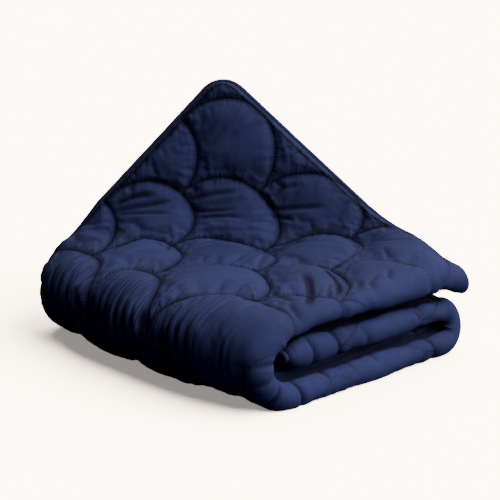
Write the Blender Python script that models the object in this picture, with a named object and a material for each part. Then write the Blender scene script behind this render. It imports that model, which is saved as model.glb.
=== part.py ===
"""A quilted duvet, folded in half and then in thirds, with one corner raised.

The duvet is one filled solid.  It is worked out flat first, as a sheet with a
place across its width (p) and a place along its length (q), sewn in rows of
scales.  The width is folded in half, which gives a strip of two plies.  The
strip is then folded in thirds along the rows of FOLDS: over the top, down
round the roll, along the bottom, up round the right fold and back between the
other two.  Last, the free corner of the top layer is bent upwards.

+X runs from the roll to the free short edge, +Y from the folded long side to
the open long edges, +Z up.  The origin is at the bottom centre.
"""
import math

import bpy
import numpy as np

# The quilting: scales of one radius, in staggered rows, set the flat size.
SCALE_RADIUS = 0.100
SCALES_ACROSS = 6
WIDTH = 2 * SCALES_ACROSS * SCALE_RADIUS
LENGTH = 14 * SCALE_RADIUS
CORNER_RADIUS = 0.045

# The filling: full in the middle of a scale, drawn in at seams and edges.
LOFT = 0.0255
SEAM_LOFT = 0.0125
EDGE_LOFT = 0.006
SEAM_REACH = 0.045
EDGE_REACH = 0.038
EDGE_DROOP = 0.8

# By the folded side the free short edges are blunter, and full sooner.
BLUNT_LOFT = 0.014
BLUNT_REACH = 0.016
BLUNT_WIDTH = 1.9 * SCALE_RADIUS

# How the plies and the layers lie on each other.
PLY_GAP = 0.0025
LAYER_GAP = 0.0025
PLY_OFFSET = (LOFT + PLY_GAP) / 2
LAYER_PITCH = 2 * LOFT + PLY_GAP + LAYER_GAP
FLATTENED = 0.005
END_TAPER = 0.02

# The strip's folds: a straight run, then a half turn of the middle line.
# "forward" is how far the folded long side of that run stands out to -Y.
FOLD_RADIUS = LAYER_PITCH / 2
ROLL_RADIUS = LAYER_PITCH
TOP_EXTRA = 0.050
BOTTOM_RUN = (LENGTH - math.pi * (FOLD_RADIUS + ROLL_RADIUS) - TOP_EXTRA) / 3
FOLDS = (
    {"name": "top", "run": BOTTOM_RUN + TOP_EXTRA, "radius": ROLL_RADIUS, "forward": 0.000},
    {"name": "bottom", "run": BOTTOM_RUN, "radius": FOLD_RADIUS, "forward": 0.007},
    {"name": "middle", "run": BOTTOM_RUN, "radius": 0.0, "forward": -0.006},
)
TOP_RUN = FOLDS[0]["run"]

# The roll bows outwards, most a little nearer its folded end than its middle.
ROLL_BULGE = 0.034
BOW_AT = 0.240
BOW_REACH = 0.350
BULGE_LOW = 0.65
BULGE_RISE = 0.4

# Near the folded side the roll and the right fold are drawn towards their axes.
ROLL_DRAW = 0.016
FOLD_DRAW = 0.007
DRAW_REACH = 0.080
ROLL_DRAW_RISE = 0.10
ROLL_DRAW_FALL = 0.08

# Stretches of the folded side that are thinner or thicker than the rest.
SWELLS = (
    {"name": "top_by_roll", "at": 0.365, "reach": 0.085, "share": -0.26},
    {"name": "middle_end", "at": 1.310, "reach": 0.150, "share": 0.24},
)
SWELL_WIDTH = 0.090

# The top layer's free end is full by its shoulder, and hangs down at the fold.
SHOULDER_LIFT = 0.028
SHOULDER_AT = 0.080
SHOULDER_WIDTH = 0.085
SHOULDER_FROM_END = 0.03
SHOULDER_LENGTH = 0.11
END_DROOP = 0.034
END_REACH = 0.090
DROOP_WIDTH = 0.130

# The raised corner: a soft bend about a slanting line across the top layer.
CREASE_X = 0.166
CREASE_Y = 0.245
CREASE_TURN = math.radians(42)
CORNER_RISE = math.radians(77)
CREASE_RADIUS = 0.125
CREASE_FADE = 0.090

# The binding round the edge, and the gap that separate pieces keep.
BINDING_RADIUS = 0.004
BINDING_SIDES = 6
PIECE_GAP = 0.0004

# Stations of the mesh: close where the scales show, wide where hidden.
FINE_STEP = 0.25 * SCALE_RADIUS
WIDE_STEP = 0.5 * SCALE_RADIUS
TURN_STEPS = 5
FINE_LENGTH = TOP_RUN + math.pi * ROLL_RADIUS

NAVY = (0.020, 0.026, 0.075, 1.0)
NAVY_EDGE = (0.016, 0.021, 0.062, 1.0)


def clear_scene():
    """Removes whatever the scene holds."""
    for item in list(bpy.data.objects):
        bpy.data.objects.remove(item, do_unlink=True)


def cloth_material(name, colour):
    """A matt woven cotton finish."""
    material = bpy.data.materials.new(name)
    material.use_nodes = True
    shader = material.node_tree.nodes["Principled BSDF"]
    shader.inputs["Base Color"].default_value = colour
    shader.inputs["Roughness"].default_value = 0.85
    shader.inputs["Metallic"].default_value = 0.0
    return material


def seam_distance(p, q):
    """Distance in the flat cloth to the nearest sewn arc of the scales.

    A scale's seam is the half circle of SCALE_RADIUS on the side of lower q.
    Beyond its two ends the distance is the distance to those ends.
    """
    r = SCALE_RADIUS
    nearest = np.full(np.broadcast(p, q).shape, np.inf)
    rows = int(round(LENGTH / r))
    for row in range(rows + 1):
        first = r if row % 2 == 0 else 0.0
        along = q - (row + 1) * r
        for centre in np.arange(first, WIDTH + r / 2, 2 * r):
            across = p - centre
            arc = np.abs(np.hypot(across, along) - r)
            ends = np.hypot(np.abs(across) - r, along)
            nearest = np.minimum(nearest, np.where(along <= 0, arc, ends))
    return nearest


def fullness(distance, reach):
    """0 at a seam or edge, rising in a round shoulder to 1 at `reach`."""
    share = 1 - np.clip(distance / reach, 0, 1)
    return np.sqrt(1 - share**2)


def bell(distance, reach):
    """1 at no distance, falling smoothly towards 0 past `reach`."""
    return np.exp(-((distance / reach) ** 2))


def thickness(p, q):
    """Loft of the filled cloth at each place, and what the edges take away."""
    edge = np.minimum(np.minimum(p, WIDTH - p), np.minimum(q, LENGTH - q))
    blunt = bell(p - WIDTH / 2, BLUNT_WIDTH) * (q < LENGTH / 2)
    least = EDGE_LOFT + (BLUNT_LOFT - EDGE_LOFT) * blunt
    reach = EDGE_REACH + (BLUNT_REACH - EDGE_REACH) * blunt
    sewn = SEAM_LOFT + (LOFT - SEAM_LOFT) * fullness(seam_distance(p, q), SEAM_REACH)
    at_edge = least + (LOFT - least) * fullness(edge, reach)
    return np.minimum(sewn, at_edge), LOFT - at_edge


def round_corners(p, q):
    """Moves the cloth's four corners in, so that the outline turns in an arc.

    Within a corner square the distances from its inner corner, as shares a
    and b, become a * sqrt(1 - b*b/2) and b * sqrt(1 - a*a/2).
    """
    half_p, half_q = WIDTH / 2, LENGTH / 2
    from_p, from_q = np.abs(p - half_p), np.abs(q - half_q)
    inner_p, inner_q = half_p - CORNER_RADIUS, half_q - CORNER_RADIUS
    a = np.clip((from_p - inner_p) / CORNER_RADIUS, 0, 1)
    b = np.clip((from_q - inner_q) / CORNER_RADIUS, 0, 1)
    from_p = np.where(a > 0, inner_p + CORNER_RADIUS * a * np.sqrt(1 - b * b / 2), from_p)
    from_q = np.where(b > 0, inner_q + CORNER_RADIUS * b * np.sqrt(1 - a * a / 2), from_q)
    return half_p + np.sign(p - half_p) * from_p, half_q + np.sign(q - half_q) * from_q


def half_fold(p):
    """Section across the width: two plies joined by a half turn at p = WIDTH/2.

    Returns the place (y, w) of the ply's middle, with w the height above the
    middle of the two plies, and the outward normal there.
    """
    turn = math.pi * PLY_OFFSET
    run = (WIDTH - turn) / 2
    angle = np.clip((p - run) / PLY_OFFSET, 0, math.pi)
    beyond = np.maximum(p - run - turn, 0)
    y = np.where(p < run, run - p, beyond) - PLY_OFFSET * np.sin(angle)
    return y, PLY_OFFSET * np.cos(angle), -np.sin(angle), np.cos(angle)


def strip_fold(s):
    """Section along the strip: the straight runs and half turns of FOLDS.

    Returns the place (x, z) of the strip's middle, its outward normal and how
    far the folded side stands forward.
    """
    x, z = np.zeros_like(s), np.zeros_like(s)
    heading = np.full_like(s, math.pi)
    stations, forwards = [], []
    start, at_x, at_z, facing = 0.0, 0.0, 0.0, math.pi
    for fold in FOLDS:
        run, radius = fold["run"], fold["radius"]
        turn = math.pi * radius
        part = s >= start
        travel = np.clip(s - start, 0, run)
        swing = np.clip(s - start - run, 0, turn) / max(radius, 1e-9)
        angle = facing + swing
        x[part] = (at_x + travel * math.cos(facing) + radius * (np.sin(angle) - math.sin(facing)))[part]
        z[part] = (at_z + travel * math.sin(facing) - radius * (np.cos(angle) - math.cos(facing)))[part]
        heading[part] = angle[part]
        stations += [start, start + run]
        forwards += [fold["forward"]] * 2
        at_x += run * math.cos(facing)
        at_z += 2 * radius * math.cos(facing)
        facing += math.pi
        start += run + turn
    return x, z, np.sin(heading), -np.cos(heading), np.interp(s, stations, forwards)


def soft_step(share):
    """0 below 0 and 1 above 1, with a smooth rise between."""
    share = np.clip(share, 0, 1)
    return share * share * (3 - 2 * share)


def raise_corner(s, y, w):
    """Bends the flat top layer up about the slanting crease line.

    d is the distance past the crease.  It is wound on an arc of CREASE_RADIUS
    up to the angle CORNER_RISE, and runs straight on from there.  A place at
    height w sits w nearer to the arc's centre.  Returns the shift of each
    place, which fades out down the roll.
    """
    x = -s
    along_x, along_y = math.cos(CREASE_TURN), math.sin(CREASE_TURN)
    past = (x + TOP_RUN - CREASE_X) * along_x + (y - CREASE_Y) * along_y
    arc = CREASE_RADIUS * CORNER_RISE
    angle = np.clip(past, 0, arc) / CREASE_RADIUS
    straight = np.maximum(past - arc, 0)
    level = (CREASE_RADIUS - w) * np.sin(angle) + straight * np.cos(angle)
    rise = CREASE_RADIUS - (CREASE_RADIUS - w) * np.cos(angle) + straight * np.sin(angle) - w
    slide = np.where(past > 0, level - past, 0)
    fade = soft_step((TOP_RUN + CREASE_FADE - s) / (2 * CREASE_FADE))
    return slide * along_x * fade, slide * along_y * fade, np.where(past > 0, rise, 0) * fade


def draw_in(q, y):
    """How far the roll and the right fold are drawn in, near the folded side."""
    near = np.clip(1 - (y + 2 * PLY_OFFSET) / DRAW_REACH, 0, 1) ** 2
    turn = math.pi * ROLL_RADIUS
    starts = soft_step((q - TOP_RUN + 0.6 * ROLL_DRAW_RISE) / ROLL_DRAW_RISE)
    ends = soft_step((TOP_RUN + 0.65 * turn - q) / ROLL_DRAW_FALL)
    fold_middle = TOP_RUN + turn + BOTTOM_RUN + math.pi * FOLD_RADIUS / 2
    on_fold = bell(q - fold_middle, math.pi * FOLD_RADIUS / 2)
    return near * (ROLL_DRAW * starts * ends + FOLD_DRAW * on_fold)


def shape_side(q, y, w):
    """Swells, draws in and lifts the layers near the folded side; changes w only."""
    for swell in SWELLS:
        w = w * (1 + swell["share"] * bell(q - swell["at"], swell["reach"]) * bell(y, SWELL_WIDTH))
    shoulder = bell(y - SHOULDER_AT, SHOULDER_WIDTH) * bell(q - SHOULDER_FROM_END, SHOULDER_LENGTH)
    return w - draw_in(q, y) + SHOULDER_LIFT * shoulder


def place(p, q, side):
    """Maps the flat cloth to the folded duvet: side 1 is the outer skin.

    Side -1 is the inner skin and 0 the middle of the cloth.
    """
    loft, lost = thickness(p, q)
    p, q = round_corners(p, q)
    y, w, normal_y, normal_w = half_fold(p)
    w = w * (1 - EDGE_DROOP * lost / 2 / PLY_OFFSET)
    y = y + normal_y * side * loft / 2
    w = shape_side(q, y, w + normal_w * side * loft / 2)
    x, z, normal_x, normal_z, forward = strip_fold(q)
    shift_x, shift_y, shift_z = raise_corner(q, y, w)
    floor = -2 * ROLL_RADIUS - PLY_OFFSET - LOFT / 2 + FLATTENED
    height = np.maximum(z + w * normal_z, floor) - floor
    bow = np.clip(1 - ((y - BOW_AT) / BOW_REACH) ** 2, 0, 1)
    towards_roll = np.clip(-x / TOP_RUN, 0, 1.2)
    level = np.clip(BULGE_LOW - BULGE_RISE * height / floor, 0, 1)
    bulge = ROLL_BULGE * bow * towards_roll**3 * level
    height = height * (1 - END_TAPER * (1 - towards_roll))
    near_end = np.clip(1 - q / END_REACH, 0, 1) ** 2
    droop = END_DROOP * near_end * soft_step(1 - y / DROOP_WIDTH)
    return np.stack([x + w * normal_x + shift_x - bulge,
                     y - forward + shift_y,
                     height + shift_z - droop], axis=-1)


def spread(stops, steps):
    """Stations that pass through every stop, about the given steps apart."""
    places = [stops[0]]
    for low, high, step in zip(stops[:-1], stops[1:], steps):
        count = max(1, int(round((high - low) / step)))
        places += [low + (high - low) * (k + 1) / count for k in range(count)]
    return np.array(places)


def width_stations():
    """Stations across: fine on the upper ply, close round the fold."""
    turn = math.pi * PLY_OFFSET
    fold_in, fold_out = (WIDTH - turn) / 2, (WIDTH + turn) / 2
    return spread(
        [0.0, fold_in, fold_out, WIDTH],
        [FINE_STEP, turn / TURN_STEPS, WIDE_STEP])


def length_stations():
    """Stations along: fine on the top layer and the roll, close in the fold."""
    fold_in = FINE_LENGTH + BOTTOM_RUN
    turn = math.pi * FOLD_RADIUS
    return spread(
        [0.0, FINE_LENGTH, fold_in, fold_in + turn, LENGTH],
        [FINE_STEP, WIDE_STEP, turn / TURN_STEPS, WIDE_STEP])


def make_object(name, points, faces, material):
    """One mesh object from points and faces, smooth all over."""
    mesh = bpy.data.meshes.new(name)
    mesh.from_pydata(points.tolist(), [], faces)
    mesh.materials.append(material)
    mesh.shade_smooth()
    item = bpy.data.objects.new(name, mesh)
    bpy.context.scene.collection.objects.link(item)
    return item


def rim_walk(rows, columns):
    """Grid places round the rim, once round: edge q=0, p=WIDTH, q=LENGTH, p=0."""
    walk = [(i, 0) for i in range(rows - 1)]
    walk += [(rows - 1, j) for j in range(columns - 1)]
    walk += [(i, columns - 1) for i in range(rows - 1, 0, -1)]
    walk += [(0, j) for j in range(columns - 1, 0, -1)]
    return walk


def duvet_faces(rows, columns):
    """Two grids of four-sided faces, joined by a band round the rim."""
    def corner(i, j, skin):
        return skin * rows * columns + i * columns + j

    faces = []
    for i in range(rows - 1):
        for j in range(columns - 1):
            ring = [(i, j), (i, j + 1), (i + 1, j + 1), (i + 1, j)]
            faces.append([corner(a, b, 0) for a, b in ring])
            faces.append([corner(a, b, 1) for a, b in reversed(ring)])
    walk = rim_walk(rows, columns)
    for here, there in zip(walk, walk[1:] + walk[:1]):
        faces.append([corner(*here, 0), corner(*there, 0), corner(*there, 1), corner(*here, 1)])
    return faces


def build_duvet(p, q, material):
    """The filled and quilted body."""
    skins = [place(p, q, side).reshape(-1, 3) for side in (1, -1)]
    return make_object("duvet_body", np.concatenate(skins), duvet_faces(*p.shape), material)


def build_binding(p, q, material):
    """The binding: a thin tube that follows the rim, just clear of the body."""
    walk = rim_walk(*p.shape)
    rows = np.array([i for i, _ in walk])
    columns = np.array([j for _, j in walk])
    outer = place(p, q, 1)[rows, columns]
    inner = place(p, q, -1)[rows, columns]
    middle = (outer + inner) / 2
    normal = outer - inner
    normal /= np.linalg.norm(normal, axis=1, keepdims=True)
    ahead = np.roll(middle, -1, axis=0) - np.roll(middle, 1, axis=0)
    outward = np.cross(normal, ahead)
    outward /= np.linalg.norm(outward, axis=1, keepdims=True)
    flat = BINDING_RADIUS * math.cos(math.pi / BINDING_SIDES)
    centre = middle + outward * (flat + PIECE_GAP)
    turns = (np.arange(BINDING_SIDES) + 0.5) * 2 * math.pi / BINDING_SIDES
    rings = (centre[:, None, :]
             + BINDING_RADIUS * np.cos(turns)[None, :, None] * outward[:, None, :]
             + BINDING_RADIUS * np.sin(turns)[None, :, None] * normal[:, None, :])
    count = len(walk)
    faces = []
    for k in range(count):
        for side in range(BINDING_SIDES):
            next_k, next_side = (k + 1) % count, (side + 1) % BINDING_SIDES
            faces.append([k * BINDING_SIDES + side, k * BINDING_SIDES + next_side,
                          next_k * BINDING_SIDES + next_side, next_k * BINDING_SIDES + side])
    return make_object("edge_binding", rings.reshape(-1, 3), faces, material)


def centre_pieces(pieces):
    """Shifts all pieces so that the origin is at the bottom centre of the whole."""
    points = np.concatenate([np.array([v.co for v in piece.data.vertices]) for piece in pieces])
    low, high = points.min(axis=0), points.max(axis=0)
    shift = -np.array([(low[0] + high[0]) / 2, (low[1] + high[1]) / 2, low[2]])
    for piece in pieces:
        for vertex in piece.data.vertices:
            vertex.co = vertex.co + type(vertex.co)(shift)


def main():
    """Builds the duvet and its binding."""
    clear_scene()
    p, q = np.meshgrid(width_stations(), length_stations(), indexing="ij")
    pieces = [
        build_duvet(p, q, cloth_material("navy_quilted_cotton", NAVY)),
        build_binding(p, q, cloth_material("navy_binding", NAVY_EDGE)),
    ]
    centre_pieces(pieces)


main()
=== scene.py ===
"""Looks of the folded quilted duvet: its puffed and creased cloth, binding, stitches and studio."""
import logging
import math
from dataclasses import dataclass
from enum import Enum
from typing import Iterable, Optional

import bpy
import numpy as np
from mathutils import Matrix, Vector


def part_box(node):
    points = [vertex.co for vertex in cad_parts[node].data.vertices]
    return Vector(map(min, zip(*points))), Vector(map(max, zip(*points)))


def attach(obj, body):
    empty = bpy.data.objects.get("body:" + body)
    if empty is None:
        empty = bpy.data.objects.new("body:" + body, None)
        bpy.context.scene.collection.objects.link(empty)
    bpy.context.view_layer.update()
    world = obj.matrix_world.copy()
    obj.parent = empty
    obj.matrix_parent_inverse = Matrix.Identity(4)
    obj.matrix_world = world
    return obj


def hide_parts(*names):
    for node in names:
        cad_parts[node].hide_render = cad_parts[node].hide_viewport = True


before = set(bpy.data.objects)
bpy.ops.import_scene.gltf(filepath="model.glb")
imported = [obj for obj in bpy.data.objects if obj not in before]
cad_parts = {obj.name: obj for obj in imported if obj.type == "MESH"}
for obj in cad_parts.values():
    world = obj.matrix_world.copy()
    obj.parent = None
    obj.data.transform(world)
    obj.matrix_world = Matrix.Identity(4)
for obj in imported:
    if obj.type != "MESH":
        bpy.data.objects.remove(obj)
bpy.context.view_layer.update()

Array = np.ndarray
Socket = bpy.types.NodeSocket
Piece = bpy.types.Object
Triple = tuple[float, float, float]
LOG = logging.getLogger("duvet")
ROOT = "root"
CLEAR_OF_SEAMS = 0.05


class Skin(Enum):
    """Which face of the filled cloth a point lies on."""

    OUTER = 1
    INNER = -1


def soft_step(share: Array) -> Array:
    """Rises smoothly from 0 to 1 as share goes from 0 to 1: 3 s^2 - 2 s^3."""
    share = np.clip(share, 0.0, 1.0)
    return share * share * (3.0 - 2.0 * share)


def round_shoulder(share: Array) -> Array:
    """Quarter-circle rise from 0 to 1: sqrt(1 - (1 - s)^2)."""
    left = 1.0 - np.clip(share, 0.0, 1.0)
    return np.sqrt(1.0 - left * left)


def window(value: Array, start: float, rise: float, end: float, fall: float) -> Array:
    """1 between two places: it rises over a length after the start and falls over one before the end."""
    return soft_step((value - start) / rise) * soft_step((end - value) / fall)


def bell(distance: Array, reach: float) -> Array:
    """Falls from 1 at no distance towards 0: exp(-(d / reach)^2)."""
    return np.exp(-((distance / reach) ** 2))


def between(table: Array, low_u: Array, low_v: Array, share_u: Array, share_v: Array) -> Array:
    """Blends the four values of a repeating lattice round each place.

    Args:
        table: the lattice's values.
        low_u: number of the lattice row before each place.
        low_v: number of the lattice column before each place.
        share_u: how far each place is on to the next row, 0 to 1.
        share_v: how far each place is on to the next column, 0 to 1.

    Returns:
        The blended values.
    """
    rows, columns = table.shape[:2]
    near = [table[(low_u + i) % rows, (low_v + j) % columns] for i in (0, 1) for j in (0, 1)]
    at_low = near[0] + (near[1] - near[0]) * share_v
    at_high = near[2] + (near[3] - near[2]) * share_v
    return at_low + (at_high - at_low) * share_u


@dataclass(frozen=True)
class Ripple:
    """A smooth random field, the same each run.

    Seeded values between -1 and 1 stand on a square lattice. Between lattice
    points they are joined by the quintic blend 6 t^5 - 15 t^4 + 10 t^3.
    """

    seed: int
    size: int = 97

    def at(self, u: Array, v: Array) -> Array:
        """Reads the field.

        Args:
            u: first coordinate, one lattice step per unit.
            v: second coordinate, one lattice step per unit.

        Returns:
            Values between -1 and 1, of the shape of u and v together.
        """
        table = np.random.default_rng(self.seed).uniform(-1.0, 1.0, (self.size, self.size))
        low_u, low_v = np.floor(u).astype(int), np.floor(v).astype(int)
        share_u, share_v = (t**3 * (t * (t * 6 - 15) + 10) for t in (u - low_u, v - low_v))
        return between(table, low_u, low_v, share_u, share_v)

    def crest(self, u: Array, v: Array) -> Array:
        """Narrow valleys between broad crests, 0 on average: |field| less its mean."""
        return 2.2 * np.abs(self.at(u, v)) - 0.8


@dataclass(frozen=True)
class SeamField:
    """What the seams are like around each place of the cloth."""

    distance: Array
    inside: Array
    along: Array
    pucker: Array
    junction: Array


@dataclass(frozen=True)
class SeamPull:
    """How far the folding draws one meeting place of the seams, all in scale radii."""

    p: float
    q: float
    across: float
    along: float


SEAM_PULLS = tuple(SeamPull(*row) for row in (
    (1, 0, 0.00, 0.05), (3, 0, 0.05, 0.05), (0, 1, 0.05, 0.14), (0, 3, 0.05, 0.22),
    (0, 5, -0.10, -0.15), (2, 1, 0.00, 0.16), (4, 1, -0.12, -0.30), (6, 1, 0.05, 0.00),
    (1, 2, 0.03, 0.12), (3, 2, 0.12, 0.06), (2, 3, -0.30, 0.00), (4, 3, -0.28, -0.15),
    (6, 3, -0.15, 0.20), (1, 4, 0.05, 0.25), (3, 4, -0.38, 0.08), (5, 4, 0.00, -0.08),
    (2, 5, 0.00, -0.12), (4, 5, -0.36, 0.12), (6, 5, 0.25, -0.60), (5, 6, -0.30, 0.10),
    (5.3, 5.3, 0.45, 0.05), (3, 6, -0.20, -0.20), (5, 2, -0.40, 0.08),
))


@dataclass(frozen=True)
class Quilting:
    """The flat duvet and its sewn scales; p runs across the width, q along the length."""

    radius: float = 0.100
    width: float = 1.200
    length: float = 1.400
    corner_radius: float = 0.045
    pull_reach: float = 0.8
    no_pull: float = 0.02
    arc_shift: float = 0.0731
    pucker_width: float = 0.0105
    pucker_start: float = 0.008
    pucker_fade: float = 0.017
    pulls: tuple[SeamPull, ...] = SEAM_PULLS

    def pulled(self, p: Array, q: Array) -> tuple[Array, Array]:
        """Finds which place of the even pattern has been drawn to each place.

        Each pull has the weight exp(-(d / 0.8 r)^2) at distance d. The shift is
        the weighted mean of the pulls, with a small share of no pull.

        Args:
            p, q: places across the width and along the length.

        Returns:
            The even pattern's places across and along.
        """
        total = np.full(np.broadcast(p, q).shape, self.no_pull)
        shift_p, shift_q = np.zeros_like(total), np.zeros_like(total)
        for pull in self.pulls:
            apart = np.hypot(p - (pull.p + pull.across) * self.radius,
                             q - (pull.q + pull.along) * self.radius)
            weight = bell(apart, self.pull_reach * self.radius)
            total = total + weight
            shift_p = shift_p + weight * pull.across * self.radius
            shift_q = shift_q + weight * pull.along * self.radius
        return p - shift_p / total, q - shift_q / total

    def arcs(self) -> list[tuple[int, int, float, float]]:
        """Lists the scales; every other row is shifted by a radius.

        Returns:
            Each scale's row and column number, and its centre across and along.
        """
        r = self.radius
        return [(row, column, centre, (row + 1) * r) for row in range(int(self.length / r) + 2)
                for column, centre in enumerate(np.arange(r * (row % 2 == 0), self.width + r / 2, 2 * r))]

    def seams(self, p: Array, q: Array) -> "SeamField":
        """Measures the sewn arcs around each place.

        A scale's seam is the half circle round its centre on the side of lower
        q. The distance to it is |centre distance - radius|, and past the arc's
        two ends it is the distance to those ends. A pucker is a ripple along
        the arc that stands out at right angles to it: it grows from nothing at
        the seam to its full height 7 mm away and then dies out. The puckers of
        all arcs are added, so that no line shows where two arcs are as near.

        Args:
            p, q: places across the width and along the length.

        Returns:
            The seam distances, the place along the nearest seam and the sum of
            the puckers, about 1 high.
        """
        r = self.radius
        p, q = self.pulled(p, q)
        best = np.full(np.broadcast(p, q).shape, np.inf)
        inside, along, pucker = np.zeros_like(best), np.zeros_like(best), np.zeros_like(best)
        for row, column, centre_p, centre_q in self.arcs():
            across, down = p - centre_p, q - centre_q
            beyond = np.hypot(across, down) - r
            ends = np.hypot(np.abs(across) - r, down)
            distance = np.where(down <= 0, np.abs(beyond), ends)
            closer = distance < best
            turn = np.arctan2(across, -down)
            here = r * turn + self.arc_shift * (row * 7 + column)
            best = np.where(closer, distance, best)
            inside = np.where(closer, (beyond < 0) & (down <= 0), inside)
            along = np.where(closer, here, along)
            ripple = Ripple(101 + row).at(here / self.pucker_width, column * 3.0 + np.sign(beyond) * 0.8)
            share = np.exp(-distance / self.pucker_fade) * soft_step(distance / self.pucker_start)
            by_end = soft_step((math.pi / 2 - np.abs(turn)) / 0.15)
            pucker = pucker + ripple * share * (down <= 0) * by_end
        return SeamField(best, inside.astype(float), along, 2.2 * pucker, self.junction_distance(p, q))

    def junction_distance(self, p: Array, q: Array) -> Array:
        """Distance to the nearest place where three seams meet.

        Args:
            p, q: places across the width and along the length.

        Returns:
            The distances.
        """
        r = self.radius
        row = np.round(q / r)
        best = np.full(np.broadcast(p, q).shape, np.inf)
        for step in (-1, 0, 1):
            line = row + step
            shift = r - np.mod(line, 2) * r
            nearest = np.round((p - shift) / (2 * r)) * 2 * r + shift
            best = np.minimum(best, np.hypot(p - nearest, q - line * r))
        return best

    def edge_distance(self, p: Array, q: Array) -> Array:
        """Distance to the nearest edge of the flat duvet."""
        return np.minimum(np.minimum(p, self.width - p), np.minimum(q, self.length - q))

    def round_corners(self, p: Array, q: Array) -> tuple[Array, Array]:
        """Turns the outline in an arc at the corners.

        Inside a corner square the distances from its inner corner, as shares
        a and b, become a sqrt(1 - b^2 / 2) and b sqrt(1 - a^2 / 2).

        Args:
            p, q: places across the width and along the length.

        Returns:
            The places across and along on the rounded outline.
        """
        half_p, half_q, corner = self.width / 2, self.length / 2, self.corner_radius
        from_p, from_q = np.abs(p - half_p), np.abs(q - half_q)
        inner_p, inner_q = half_p - corner, half_q - corner
        a = np.clip((from_p - inner_p) / corner, 0, 1)
        b = np.clip((from_q - inner_q) / corner, 0, 1)
        from_p = np.where(a > 0, inner_p + corner * a * np.sqrt(1 - b * b / 2), from_p)
        from_q = np.where(b > 0, inner_q + corner * b * np.sqrt(1 - a * a / 2), from_q)
        return half_p + np.sign(p - half_p) * from_p, half_q + np.sign(q - half_q) * from_q


@dataclass(frozen=True)
class Run:
    """One straight run of the folded strip and the half turn after it."""

    length: float
    radius: float
    forward: float


@dataclass(frozen=True)
class Swell:
    """A stretch of the folded side that is thicker or thinner than the rest."""

    at: float
    reach: float
    share: float


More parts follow.
